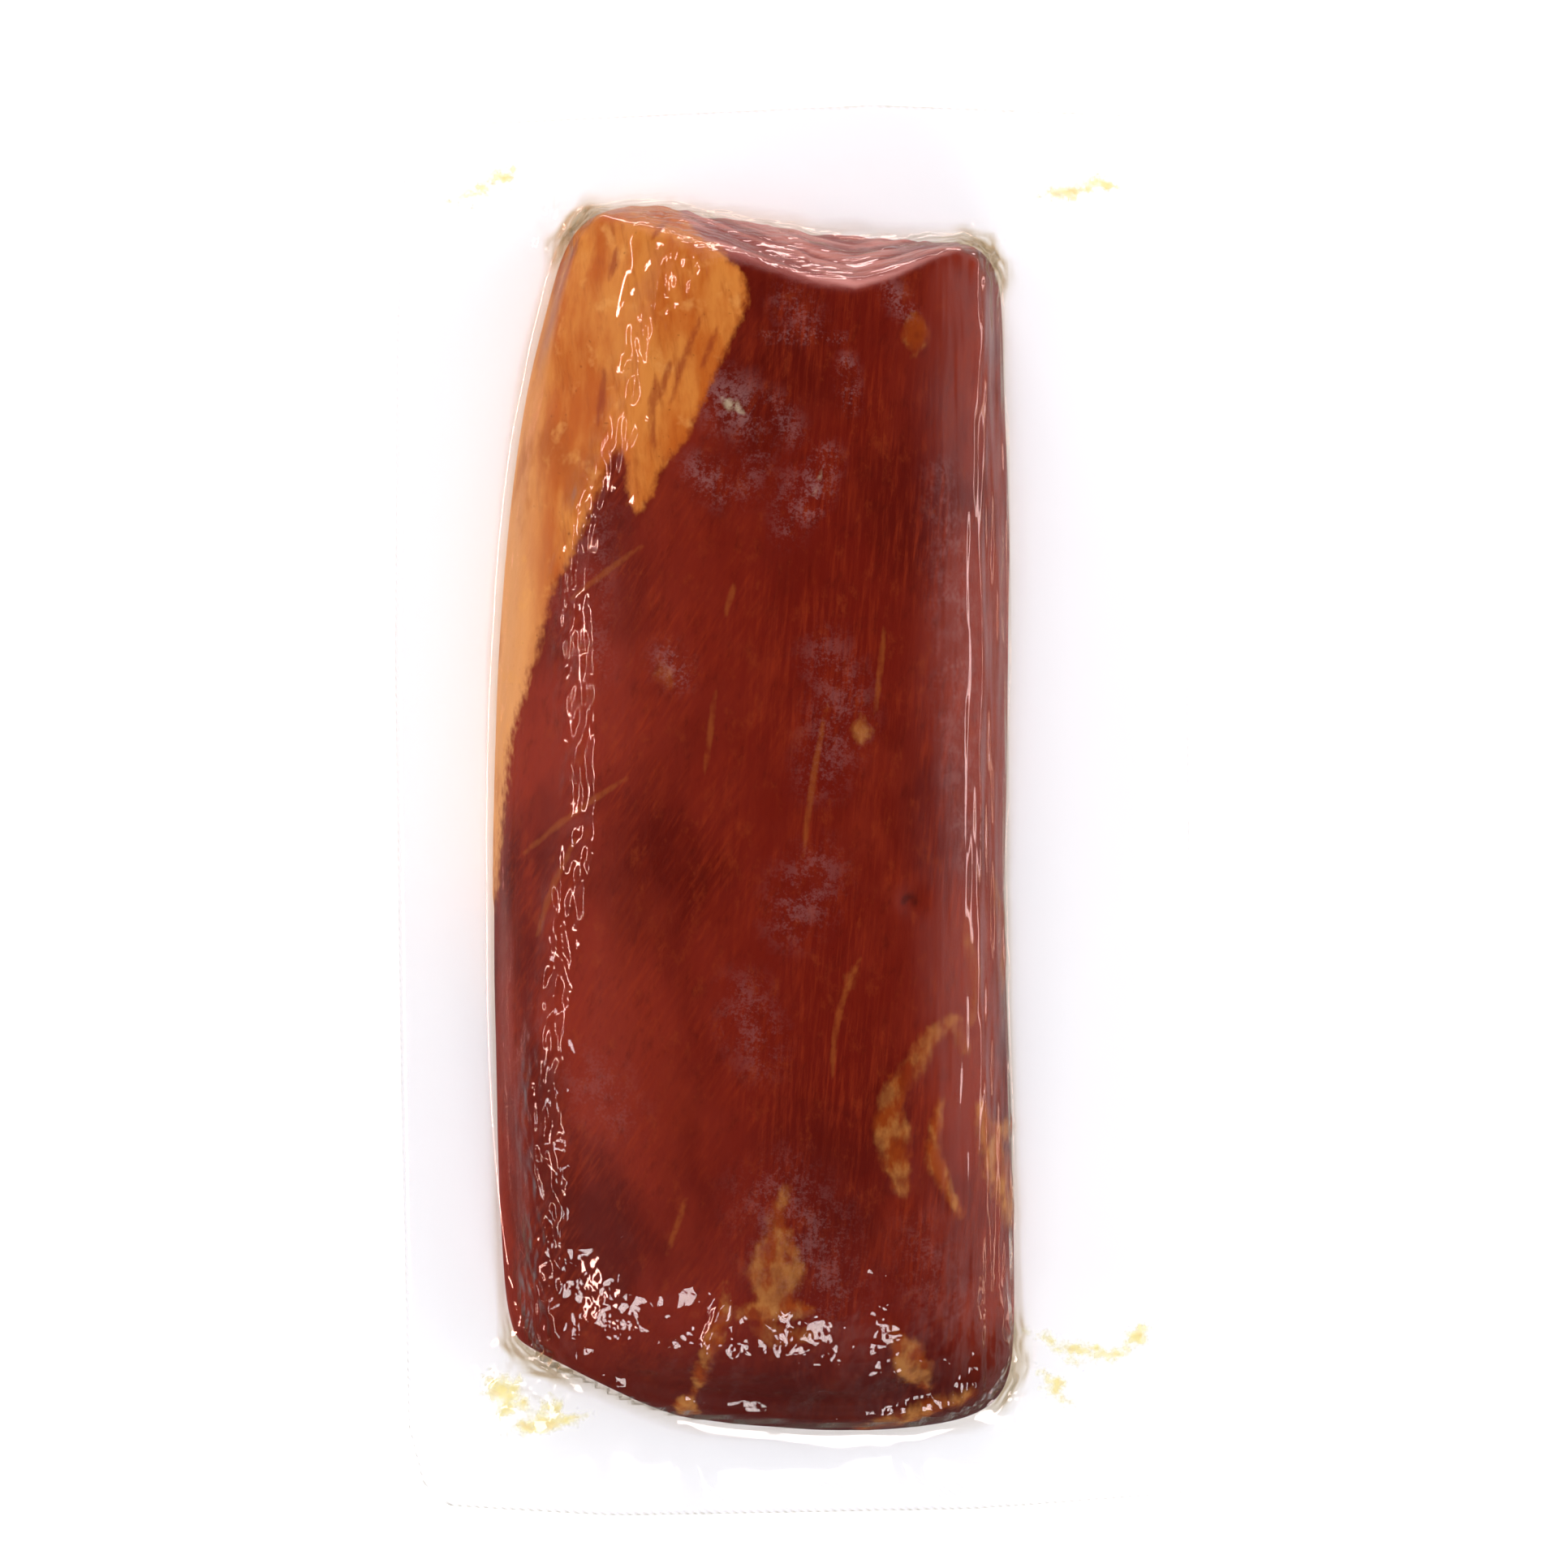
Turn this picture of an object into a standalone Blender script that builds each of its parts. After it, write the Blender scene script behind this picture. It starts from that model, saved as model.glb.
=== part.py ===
"""Vacuum-packed smoked ham: one slab of ham between the two films of a clear pouch.

+Y runs along the slab, +Z up, and the origin is under the middle of the pouch, on the
surface that it lies on. Everything is in metres.
"""

import math

import bmesh
import bpy
import numpy as np
from mathutils import Vector

MM = 0.001

# ---- Driving dimensions -------------------------------------------------------------
HAM_HEIGHT = 50 * MM  # the slab's thickest place
HAM_NEAR_Y = -133.3 * MM
HAM_FAR_Y = 129.5 * MM

# The slab's sides seen from above, as (y, x): nearly straight, narrowing at the far end.
HAM_LEFT = [(-134, -62.5), (-104, -64.5), (-35, -66.0), (34, -64.0), (69, -61.4), (98, -57.5), (130, -49.0)]
HAM_RIGHT = [(-134, 46.0), (-69, 45.9), (-17, 43.3), (43, 45.4), (86, 44.5), (130, 43.0)]
# Its two ends seen from above, as (x, y).
HAM_NEAR_END = [(-66, -116.0), (-42, -128.0), (-20, -131.0), (5, -133.3), (30, -132.0), (46, -127.0)]
HAM_FAR_END = [(-56, 126.0), (-38, 129.5), (-15, 127.1), (4, 123.5), (19, 122.8), (46, 121.5)]

CELLS = (6, 12, 3)  # of the cage, along X, Y and Z
SHOULDER = 0.8  # under 1, the cage's lines crowd towards the slab's edges
LEFT_CROWN = 0.30  # how much lower the slab's long edges are than its middle
RIGHT_CROWN = 0.13
NEAR_END_DROP = 0.18
FAR_END_DROP = 0.05
UNDERSIDE_TUCK = 0.06  # share of the half width by which the underside is narrower
LEFT_SLOPE = 7 * MM  # how far the top edge of each side lies inside its foot
RIGHT_SLOPE = 13 * MM
NEAR_END_SLOPE = 14 * MM
FAR_END_SLOPE = 9 * MM
SCOOP_DEPTH = 13 * MM  # the hollow that the knife left in the far end
SCOOP_X = 10 * MM
SCOOP_WIDTH = 30 * MM
CAGE_GROWTH = (1.012, 1.005)  # in X and Y, because the smoothed slab lies inside its cage

FILM_THICKNESS = 0.25 * MM
MEAT_TO_FILM = 0.4 * MM
SEAM_HEIGHT = 20 * MM  # where the two films leave the slab's sides
SEAL_GAP = 0.2 * MM  # half the space between the films in the outer seal
POCKET_GAP = 0.8 * MM  # half the space between the films inside the seal
EDGE_DROOP = 6 * MM  # how far the loose margin hangs below the seam
ARCH = 0.03 * MM  # how far the underside rises in its middle, so the pack stands on its four corners
UNDERSIDE_MIDDLE = (-10 * MM, -2 * MM)
UNDERSIDE_HALF = (38 * MM, 114 * MM)
MARGIN_RINGS = (0.08, 0.3, 0.55, 0.78, 0.93, 1.0)
SEAL_STARTS = 0.9

# The pouch's outline from its near left corner, anticlockwise seen from above.
POUCH_CORNERS = [(-79.0, -146.8), (85.6, -144.0), (79.5, 146.6), (-83.5, 144.5)]
POUCH_OUTLINE = [
    POUCH_CORNERS[0], (-39.4, -149.1), (36.4, -147.6),
    POUCH_CORNERS[1], (85.9, -125.0), (82.3, -41.4), (80.5, 98.1),
    POUCH_CORNERS[2], (15.0, 149.1),
    POUCH_CORNERS[3], (-85.5, 98.1), (-85.9, 34.4), (-84.7, -51.8), (-83.0, -130.0),
]

# Juice that the vacuum drew out of the meat: middle x and y, half length, half width and heading.
JUICE = {
    "juice_near_left": (-56.5, -128.0, 13.0, 6.0, 25),
    "juice_near_right": (61.0, -113.5, 13.5, 5.0, 20),
    "juice_far_left": (-67.5, 131.0, 8.0, 3.6, 15),
    "juice_far_right": (56.5, 133.0, 9.5, 3.4, 5),
}
JUICE_HALF_THICKNESS = 0.4 * MM
JUICE_SEGMENTS = (16, 6)
LOBES = 3
LOBE_DEPTH = 0.16

# Linear colour, roughness and metallic value of each material.
SMOKED_MEAT = ((0.17, 0.018, 0.010, 1.0), 0.45, 0.0)
CLEAR_FILM = ((0.86, 0.87, 0.90, 1.0), 0.10, 0.0)
YELLOW_JUICE = ((0.80, 0.62, 0.16, 1.0), 0.20, 0.0)


def clear_scene():
    for old in list(bpy.data.objects):
        bpy.data.objects.remove(old)


def material(name, look):
    colour, roughness, metallic = look
    made = bpy.data.materials.new(name)
    made.use_nodes = True
    shader = made.node_tree.nodes["Principled BSDF"]
    shader.inputs["Base Color"].default_value = colour
    shader.inputs["Roughness"].default_value = roughness
    shader.inputs["Metallic"].default_value = metallic
    return made


def add_object(name, bm, made_of, collection):
    """Turns a bmesh into a smooth-shaded object of one material in the collection."""
    mesh = bpy.data.meshes.new(name)
    bm.to_mesh(mesh)
    bm.free()
    mesh.shade_smooth()
    mesh.materials.append(made_of)
    added = bpy.data.objects.new(name, mesh)
    collection.objects.link(added)
    return added


def along(points, place):
    """Reads a line of (place, value) points in millimetres at a place in metres."""
    places, values = zip(*points)
    return float(np.interp(place / MM, places, values)) * MM


def ease(t):
    """0 to 1 with level ends."""
    t = min(max(t, 0.0), 1.0)
    return t * t * (3 - 2 * t)


# ---- The ham ------------------------------------------------------------------------
def crowded(t):
    return math.copysign(abs(t) ** SHOULDER, t)


def ham_point(u, v, w):
    """Where the cage's corner at u, v, w goes, each from -1 to 1 along X, Y and Z."""
    u, v = crowded(u), crowded(v)
    up = (w + 1) / 2
    y = HAM_NEAR_Y + (HAM_FAR_Y - HAM_NEAR_Y) * (v + 1) / 2
    left, right = along(HAM_LEFT, y), along(HAM_RIGHT, y)
    middle, half = (left + right) / 2, (right - left) / 2
    if w == -1:
        half *= 1 - UNDERSIDE_TUCK
    slope = RIGHT_SLOPE if u > 0 else LEFT_SLOPE
    x = middle + u * CAGE_GROWTH[0] * (half - slope * up**3)
    near, far = along(HAM_NEAR_END, x), along(HAM_FAR_END, x)
    y = near + (far - near) * (v + 1) / 2
    scoop = SCOOP_DEPTH * math.exp(-(((x - SCOOP_X) / SCOOP_WIDTH) ** 2) * 2)
    y -= (FAR_END_SLOPE + scoop) * up**1.5 * ease((v - 0.3) / 0.7)
    y += NEAR_END_SLOPE * up**2 * ease((-v - 0.4) / 0.6)
    drop = NEAR_END_DROP * ease((-v - 0.3) / 0.7) + FAR_END_DROP * ease((v - 0.3) / 0.7)
    crown = RIGHT_CROWN if u > 0 else LEFT_CROWN
    height = HAM_HEIGHT * (1 - crown * abs(u) ** 3 - drop)
    underside = FILM_THICKNESS + MEAT_TO_FILM
    return Vector((x, y * CAGE_GROWTH[1], underside + (height - underside) * up))


def cut_along(bm, axis, cells):
    """Cuts every edge that runs along this axis into equal cells."""
    edges = [
        e for e in bm.edges
        if abs((e.verts[0].co - e.verts[1].co).normalized()[axis]) > 0.99
    ]
    bmesh.ops.subdivide_edges(bm, edges=edges, cuts=cells - 1, use_grid_fill=True)


def make_ham(made_of, collection):
    """A cube cut into a cage, shaped, and smoothed by a Subdivision Surface."""
    bm = bmesh.new()
    bmesh.ops.create_cube(bm, size=2)
    for axis, cells in enumerate(CELLS):
        cut_along(bm, axis, cells)
    for corner in bm.verts:
        corner.co = ham_point(*(round(c, 6) for c in corner.co))
    ham = add_object("ham", bm, made_of, collection)
    smooth = ham.modifiers.new("Smooth form", "SUBSURF")
    smooth.levels = smooth.render_levels = 1
    return ham


# ---- The pouch ----------------------------------------------------------------------
def crossing(origin, direction, start, end):
    """How far along a ray it meets the stretch from start to end, or None."""
    side = end - start
    turn = direction.x * side.y - direction.y * side.x
    if abs(turn) < 1e-12:
        return None
    offset = start - origin
    reach = (offset.x * side.y - offset.y * side.x) / turn
    share = (offset.x * direction.y - offset.y * direction.x) / turn
    return reach if reach > 0 and -1e-9 <= share <= 1 + 1e-9 else None


def outline_point(foot, middle):
    """The point of the pouch's outline straight out from the slab's middle past foot."""
    corners = [Vector(p) * MM for p in POUCH_OUTLINE]
    direction = (foot - middle).normalized()
    stretches = zip(corners, corners[1:] + corners[:1])
    reaches = [crossing(middle, direction, a, b) for a, b in stretches]
    return middle + direction * min(r for r in reaches if r is not None)


def seam_height(x, y):
    """The height of the level between the two films: it droops towards the pouch's edge."""
    past_side = max(abs(x + 10 * MM) - 55 * MM, 0.0) / (40 * MM)
    past_end = max(abs(y) - 125 * MM, 0.0) / (24 * MM)
    return SEAM_HEIGHT - EDGE_DROOP * ease(0.7 * math.hypot(past_side, past_end))


def outer_points(feet, middle):
    """The outline point of each foot, with the foot nearest each corner put on it."""
    ends = {index: outline_point(foot, middle) for index, foot in feet.items()}
    for corner in POUCH_CORNERS:
        corner = Vector(corner) * MM
        nearest = min(ends, key=lambda index: (ends[index] - corner).length)
        ends[nearest] = corner
    return ends


def arch(point):
    """How far a point of the flat underside is raised."""
    u = (point.x - UNDERSIDE_MIDDLE[0]) / UNDERSIDE_HALF[0]
    v = (point.y - UNDERSIDE_MIDDLE[1]) / UNDERSIDE_HALF[1]
    return ARCH * max(1 - (u * u + v * v) / 2, 0)


def film_surface(ham_mesh, side):
    """The inner face of the upper (side 1) or lower (side -1) film, with no thickness yet."""
    bm = bmesh.new()
    bm.from_mesh(ham_mesh)
    bm.normal_update()
    for point in bm.verts:
        underside = point.normal.z < -0.9999
        point.co += point.normal * MEAT_TO_FILM
        if underside:
            point.co.z += arch(point.co)
    bmesh.ops.bisect_plane(
        bm,
        geom=[*bm.verts, *bm.edges, *bm.faces],
        plane_co=(0, 0, SEAM_HEIGHT + side * SEAL_GAP),
        plane_no=(0, 0, side),
        clear_inner=True,
    )
    foot_of = bm.verts.layers.int.new("foot")
    rim = [e for e in bm.edges if e.is_boundary]
    feet = {}
    for index, point in enumerate({v for e in rim for v in e.verts}):
        point[foot_of] = index
        feet[index] = point.co.xy.copy()
    middle = sum(feet.values(), Vector((0, 0))) / len(feet)
    ends = outer_points(feet, middle)
    for share in MARGIN_RINGS:
        grown = bmesh.ops.extrude_edge_only(bm, edges=rim)["geom"]
        rim = [g for g in grown if isinstance(g, bmesh.types.BMEdge)]
        gap = POCKET_GAP + (SEAL_GAP - POCKET_GAP) * ease((share - 0.78) / (SEAL_STARTS - 0.78))
        for point in {v for e in rim for v in e.verts}:
            index = point[foot_of]
            x, y = feet[index].lerp(ends[index], share)
            point.co = (x, y, seam_height(x, y) + side * gap)
    bmesh.ops.recalc_face_normals(bm, faces=bm.faces)
    lie = sum(f.normal.z * f.calc_area() for f in bm.faces)
    if lie * side < 0:
        bmesh.ops.reverse_faces(bm, faces=bm.faces)
    return bm


def make_film(name, ham_mesh, side, made_of, collection):
    film = add_object(name, film_surface(ham_mesh, side), made_of, collection)
    wall = film.modifiers.new("Film thickness", "SOLIDIFY")
    wall.thickness = FILM_THICKNESS
    wall.offset = 1
    return film


# ---- The juice ----------------------------------------------------------------------
def make_juice(name, made_of, collection):
    """A thin lobed lens of liquid that lies between the films, on the seam's level."""
    x0, y0, half_length, half_width, heading = JUICE[name]
    segments, rings = JUICE_SEGMENTS
    bm = bmesh.new()
    bmesh.ops.create_uvsphere(bm, u_segments=segments, v_segments=rings, radius=1)
    cos_h, sin_h = math.cos(math.radians(heading)), math.sin(math.radians(heading))
    for point in bm.verts:
        turn = math.atan2(point.co.y, point.co.x)
        lobe = 1 - LOBE_DEPTH + LOBE_DEPTH * math.cos(LOBES * turn)
        a = point.co.x * half_length * lobe
        b = point.co.y * half_width * lobe
        x = (x0 + a * cos_h - b * sin_h) * MM
        y = (y0 + a * sin_h + b * cos_h) * MM
        point.co = (x, y, seam_height(x, y) + point.co.z * JUICE_HALF_THICKNESS)
    return add_object(name, bm, made_of, collection)


def build():
    clear_scene()
    collection = bpy.data.collections.new("smoked_ham")
    bpy.context.scene.collection.children.link(collection)
    ham = make_ham(material("smoked_meat", SMOKED_MEAT), collection)
    bpy.context.view_layer.update()
    graph = bpy.context.evaluated_depsgraph_get()
    ham_mesh = bpy.data.meshes.new_from_object(ham.evaluated_get(graph))
    film = material("clear_film", CLEAR_FILM)
    make_film("upper_film", ham_mesh, 1, film, collection)
    make_film("lower_film", ham_mesh, -1, film, collection)
    bpy.data.meshes.remove(ham_mesh)
    juice = material("yellow_juice", YELLOW_JUICE)
    for name in JUICE:
        make_juice(name, juice, collection)


build()
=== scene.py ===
# %% [markdown]
# # A slab of smoked ham in its vacuum pouch
# The real thing is three materials deep: cured meat with its cap of smoked fat, a clear
# plastic film above and below it, and a little juice that the vacuum squeezed out into the
# corners. We load the model that holds the sizes, then make a finely shaped slab, drape the
# two films over and under it, and give every surface a material built from nodes.

# %% Load the frame
import math

import bpy
import numpy as np
from mathutils import Matrix, Vector, noise
from mathutils.bvhtree import BVHTree


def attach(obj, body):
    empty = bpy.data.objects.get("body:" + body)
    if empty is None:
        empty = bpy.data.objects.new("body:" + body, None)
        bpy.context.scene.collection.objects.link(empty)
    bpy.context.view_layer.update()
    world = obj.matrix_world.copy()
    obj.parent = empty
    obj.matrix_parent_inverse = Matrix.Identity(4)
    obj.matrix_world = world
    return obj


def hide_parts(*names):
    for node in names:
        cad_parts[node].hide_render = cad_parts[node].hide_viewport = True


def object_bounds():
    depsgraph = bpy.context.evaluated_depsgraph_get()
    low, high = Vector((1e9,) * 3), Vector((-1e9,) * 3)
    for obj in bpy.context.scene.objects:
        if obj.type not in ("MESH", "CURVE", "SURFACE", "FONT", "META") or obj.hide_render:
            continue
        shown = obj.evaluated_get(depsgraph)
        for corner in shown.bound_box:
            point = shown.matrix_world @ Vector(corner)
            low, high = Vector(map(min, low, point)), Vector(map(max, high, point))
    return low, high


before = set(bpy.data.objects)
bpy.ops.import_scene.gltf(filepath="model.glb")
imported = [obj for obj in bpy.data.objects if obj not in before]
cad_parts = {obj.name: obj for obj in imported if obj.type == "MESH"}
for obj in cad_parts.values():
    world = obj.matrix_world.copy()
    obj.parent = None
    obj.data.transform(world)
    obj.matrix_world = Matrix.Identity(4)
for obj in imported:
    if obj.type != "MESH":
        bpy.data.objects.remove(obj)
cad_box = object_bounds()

MM = 0.001
LOW, HIGH = (np.array(corner) / MM for corner in cad_box)
print("the model's box in mm:", LOW.round(1), HIGH.round(1))

# %% [markdown]
# ## Camera
# The pack lies flat and is looked at from straight above, so the camera hangs over it with the
# far end of the slab at the top of the picture. A long lens from well above keeps the tall
# middle of the slab from looking larger than its foot.

# %% Camera
VIEW_WIDTH = 330.4  # mm that the picture shows from side to side
VIEW_CENTRE = (-3.8, 5.6)  # mm
LENS = 150.0
SENSOR = 36.0
AIM = 20.0  # mm above the table, the level at which the view is that wide

eye = bpy.data.cameras.new("eye")
eye.lens = LENS
eye.sensor_width = SENSOR
camera = bpy.data.objects.new("camera", eye)
camera.location = (VIEW_CENTRE[0] * MM, VIEW_CENTRE[1] * MM, (VIEW_WIDTH * LENS / SENSOR + AIM) * MM)
bpy.context.scene.collection.objects.link(camera)
bpy.context.scene.camera = camera
bpy.context.scene.view_settings.view_transform = "Standard"
print("camera height:", round(camera.location.z, 3), "m")

# %% [markdown]
# ## Table and light
# A clear film shows only by what it mirrors, so the lights matter as much as the materials.
# They are of two kinds. The fill lights are broad and soft. They light the meat, and the film doesn't
# mirror them. The shine lights do nothing but stand in the film's reflections: a narrow one on
# the left draws the bright broken line along the left shoulder, two windows light the dimples of
# the near end, and two strips draw the long lines on the right and the sheen of the folds at the
# far end. Only steep film should mirror those two, so they stand very low, under the level of the
# table, and the film is told not to mirror the table. The sky straight overhead stays dark, which
# keeps the flat top of the film invisible and the meat deep red.

# %% Table and light
def srgb(code):
    """The linear colour of a hex code such as "b34a1f"."""
    shares = [int(code[i : i + 2], 16) / 255 for i in (0, 2, 4)]
    return tuple(c / 12.92 if c <= 0.04045 else ((c + 0.055) / 1.055) ** 2.4 for c in shares) + (1.0,)


def add(tree, kind, inputs=None, **settings):
    """Adds a node, sets its settings, and gives each input a value or links it."""
    node = tree.nodes.new(kind)
    for name, value in settings.items():
        setattr(node, name, value)
    for name, value in (inputs or {}).items():
        if isinstance(value, bpy.types.NodeSocket):
            tree.links.new(value, node.inputs[name])
        else:
            node.inputs[name].default_value = value
    return node


def new_material(name):
    """A new empty material, its node tree and its output node."""
    made = bpy.data.materials.new(name)
    made.use_nodes = True
    made.node_tree.nodes.clear()
    return made, made.node_tree, made.node_tree.nodes.new("ShaderNodeOutputMaterial")


SLAB_MIDDLE = (-0.01, 0.0, 0.03)  # m, where the lights point


def softbox(name, place, along, size, power, job, tint="ffffff"):
    """A rectangular light facing the slab: its place, its long side's way and its size in metres.

    Its job is either "shine", to be mirrored in the film, or "fill", to light the meat."""
    lamp = bpy.data.lights.new(name, "AREA")
    lamp.shape = "RECTANGLE"
    lamp.size, lamp.size_y = size
    lamp.energy = power
    lamp.color = srgb(tint)[:3]
    light = bpy.data.objects.new(name, lamp)
    light.location = place
    back = (Vector(place) - Vector(SLAB_MIDDLE)).normalized()
    side = (Vector(along) - Vector(along).dot(back) * back).normalized()
    light.rotation_euler = Matrix((side, back.cross(side), back)).transposed().to_euler()
    light.visible_glossy = job == "shine"
    light.visible_diffuse = job == "fill"
    bpy.context.scene.collection.objects.link(light)


softbox("strip_left", (-1.00, -0.05, 0.72), (0, 1.3, 0.42), (1.50, 0.08), 38.0, "shine", "ffb8a8")
softbox("window_near", (0.05, -1.00, 0.84), (1, 0, 0), (0.32, 0.45), 9.5, "shine", "fff0ee")
softbox("window_near_left", (-0.95, -0.95, 0.90), (1, -0.9, 0), (0.32, 0.40), 8.5, "shine", "fff0ee")
softbox("strip_right", (1.20, 0.05, -0.46), (0, 1, 0), (1.60, 0.15), 10.0, "shine", "ffdcd6")
softbox("strip_far", (0.00, 1.10, -0.45), (1, 0, 0), (1.20, 0.12), 9.0, "shine", "ffe8e4")
softbox("fill_left", (-1.15, 0.00, 0.50), (0, 1, 0), (1.20, 0.60), 10.5, "fill")
softbox("fill_right", (1.05, 0.10, 0.62), (0, 1, 0), (1.00, 0.90), 8.0, "fill")
softbox("fill_near", (0.00, -1.05, 0.90), (1, 0, 0), (1.00, 0.60), 9.0, "fill")
softbox("fill_far", (0.00, 1.05, 0.60), (1, 0, 0), (1.00, 0.50), 6.0, "fill")

# The sky fades from the horizon up to a dark patch straight overhead.
world = bpy.data.worlds.new("studio")
bpy.context.scene.world = world
world.use_nodes = True
sky = world.node_tree
direction = add(sky, "ShaderNodeTexCoord")
upward = add(sky, "ShaderNodeSeparateXYZ", {0: direction.outputs["Generated"]})
fade = add(sky, "ShaderNodeMapRange", {"Value": upward.outputs["Z"], "From Min": 0.25, "From Max": 0.88,
                                       "To Min": 1.0, "To Max": 0.02},
           interpolation_type="SMOOTHSTEP")
# The room is brightest to the right and at the far end, and dark behind the near end.
sideways = add(sky, "ShaderNodeMath", {0: upward.outputs["X"], 1: 0.45, 2: 0.62}, operation="MULTIPLY_ADD")
around = add(sky, "ShaderNodeMath", {0: upward.outputs["Y"], 1: 0.45, 2: sideways.outputs[0]},
             operation="MULTIPLY_ADD")
never_black = add(sky, "ShaderNodeMath", {0: around.outputs[0], 1: 0.12}, operation="MAXIMUM")
glow = add(sky, "ShaderNodeMath", {0: fade.outputs[0], 1: never_black.outputs[0]}, operation="MULTIPLY")
sky.links.new(glow.outputs[0], sky.nodes["Background"].inputs["Strength"])
sky.nodes["Background"].inputs["Color"].default_value = (1.0, 1.0, 1.0, 1.0)

TABLE = 6.0  # m
TABLE_GAP = 0.4  # mm below the model's box, so that the two surfaces don't flicker into each other
TABLE_GLOW = 0.29  # lifts the board to white without bleaching the pack

bpy.ops.mesh.primitive_plane_add(size=TABLE, location=(0, 0, (LOW[2] - TABLE_GAP) * MM))
table = bpy.context.object
table.name = "table"
table.visible_glossy = False  # the film mirrors the darker room, and not the white board
matt_white, tree, out = new_material("matt_white_board")
grain = add(tree, "ShaderNodeTexNoise", {"Vector": add(tree, "ShaderNodeTexCoord").outputs["Object"],
                                         "Scale": 400.0, "Detail": 2.0})
board = add(tree, "ShaderNodeMix", {0: grain.outputs["Fac"], 6: srgb("f6f6f7"), 7: srgb("f9f9fa")},
            data_type="RGBA")
shader = add(tree, "ShaderNodeBsdfPrincipled", {"Base Color": board.outputs[2], "Roughness": 0.9,
                                                "Specular IOR Level": 0.1, "Emission Color": (1, 1, 1, 1),
                                                "Emission Strength": TABLE_GLOW})
tree.links.new(shader.outputs[0], out.inputs[0])
table.data.materials.append(matt_white)

# %% [markdown]
# ## Working with points in millimetres
# Shaping in code means reading a mesh's points, moving them by a rule and writing them
# back. These few helpers do that in millimetres: smooth noise, a rounded line through a few
# points, and how far each point of a surface is from such a line or inside such an outline.

# %% Helpers for points
def read_points(piece):
    points = np.zeros(len(piece.data.vertices) * 3)
    piece.data.vertices.foreach_get("co", points)
    return points.reshape(-1, 3) / MM


def write_points(piece, points):
    piece.data.vertices.foreach_set("co", (points * MM).ravel())
    piece.data.update()


def read_normals(piece):
    normals = np.zeros(len(piece.data.vertices) * 3, np.float32)
    piece.data.vertex_normals.foreach_get("vector", normals)
    return normals.reshape(-1, 3).astype(float)


def keep(piece, name, values):
    """Stores one number for each point, for the material to read."""
    layer = piece.data.attributes.new(name, "FLOAT", "POINT")
    layer.data.foreach_set("value", np.asarray(values, np.float32))


def ease(low, high, values):
    """0 below low and 1 above high, with level ends."""
    t = np.clip((values - low) / (high - low), 0.0, 1.0)
    return t * t * (3 - 2 * t)


def lumps(points, size, seed):
    """Smooth noise from -1 to 1, in lumps of about this size in mm along X, Y and Z."""
    scaled = points / np.broadcast_to(size, 3) + np.array([seed, seed * 1.7, seed * 0.6])
    return np.array([noise.noise(Vector(p)) for p in scaled])


def rounded(points, closed=False, rounds=3):
    """The line again with its corners cut, three times over."""
    line = np.array(points, float)
    for _ in range(rounds):
        ahead = np.roll(line, -1, axis=0) if closed else line[1:]
        here = line if closed else line[:-1]
        cut = np.stack([0.75 * here + 0.25 * ahead, 0.25 * here + 0.75 * ahead], axis=1).reshape(-1, 2)
        line = cut if closed else np.concatenate([line[:1], cut, line[-1:]])
    return line


def off_line(points, line, closed=False):
    """How far each point is from the line, seen from above, and how far along it, from 0 to 1."""
    ends = np.roll(line, -1, axis=0) if closed else line[1:]
    starts = line if closed else line[:-1]
    lengths = np.linalg.norm(ends - starts, axis=1)
    before = np.concatenate([[0], np.cumsum(lengths)])
    best = np.full(len(points), 1e9)
    along = np.zeros(len(points))
    for i, (a, b) in enumerate(zip(starts, ends)):
        way = b - a
        t = np.clip(((points[:, :2] - a) @ way) / max(way @ way, 1e-9), 0, 1)
        away = np.linalg.norm(points[:, :2] - a - t[:, None] * way, axis=1)
        nearer = away < best
        best[nearer] = away[nearer]
        along[nearer] = (before[i] + t[nearer] * lengths[i]) / before[-1]
    return best, along


def depth_in(points, outline):
    """How far inside a closed outline each point is, in mm: negative outside."""
    line = rounded(outline, closed=True)
    away, _ = off_line(points, line, closed=True)
    inside = np.zeros(len(points), bool)
    x, y = points[:, 0], points[:, 1]
    for (ax, ay), (bx, by) in zip(line, np.roll(line, -1, axis=0)):
        if ay != by:
            inside ^= ((ay > y) != (by > y)) & (x < (bx - ax) * (y - ay) / (by - ay) + ax)
    return np.where(inside, away, -away)


def stroke_depth(points, path, widest, ends=0.4):
    """Like depth_in, for a stroke along a path that is widest in its middle."""
    away, along = off_line(points, rounded(path))
    half = widest / 2 * (ends + (1 - ends) * np.sin(np.pi * along))
    return half - away


def select_only(piece):
    bpy.ops.object.select_all(action="DESELECT")
    piece.select_set(True)
    bpy.context.view_layer.objects.active = piece


def apply_modifier(piece, kind, **settings):
    """Adds a modifier, sets it and applies it."""
    select_only(piece)
    modifier = piece.modifiers.new(kind.title(), kind)
    for name, value in settings.items():
        setattr(modifier, name, value)
    bpy.ops.object.modifier_apply(modifier=modifier.name)


# %% [markdown]
# ## The slab
# A ham is boned, cured, pressed and smoked, so it is a soft-edged block with knife-cut ends. Its
# frame solid has the right size but only broad facets. We take a merged copy, smooth it with a
# Subdivision Surface, put back the crisp edge that the knife left at the far end, and remesh
# it into even millimetre cells that can carry finer relief.

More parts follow.
